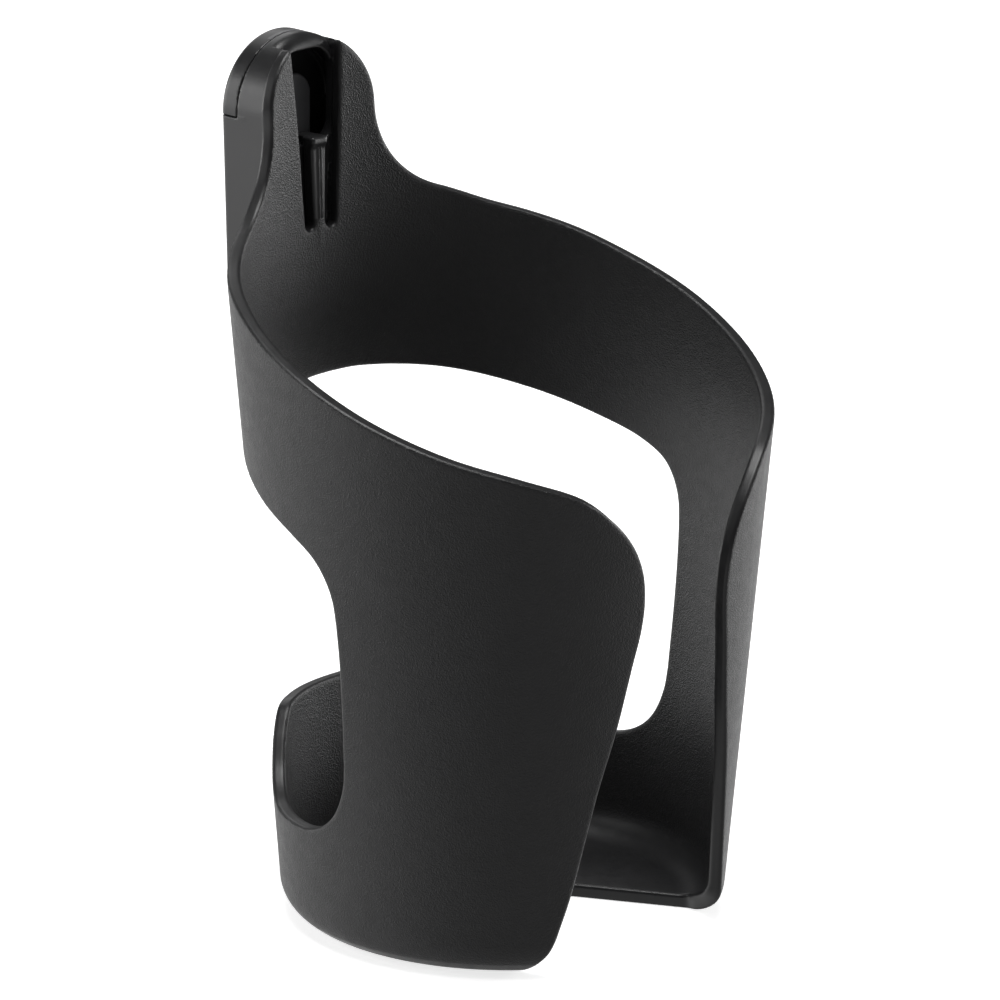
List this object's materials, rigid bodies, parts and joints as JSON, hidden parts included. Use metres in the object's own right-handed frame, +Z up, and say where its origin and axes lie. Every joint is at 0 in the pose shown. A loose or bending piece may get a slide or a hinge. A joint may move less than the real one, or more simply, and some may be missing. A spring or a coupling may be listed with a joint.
{
  "type": "clip-on cup holder",
  "caption": "Open C-shaped cup holder with windowed wall, slotted floor and a rear slide-on socket with a spring latch finger.",
  "frame": {"origin": "underside of the floor, on the cup's axis", "axes": "+Z up along the cup's axis, +Y towards the neck and socket at the back, the open front faces -Y"},
  "size_m": [0.0937, 0.1014, 0.1474],
  "materials": {
    "textured_plastic": "fine spark texture, matte black",
    "latch_plastic": "smooth satin black",
    "smooth_plastic": "smooth satin black"
  },
  "bodies": {
    "holder": {"cup_shell": "textured_plastic", "socket_housing": "smooth_plastic", "socket_cover": "smooth_plastic"},
    "latch": {"latch_finger": "latch_plastic"}
  },
  "joints": [
    {"name": "latch_flex", "type": "hinge", "parent": "holder", "child": "latch", "pos_m": [0, 0.0466, 0.1139], "axis": [1, 0, 0], "range_deg": [0, 6], "stiffness_Nm_per_rad": 1.4}
  ]
}
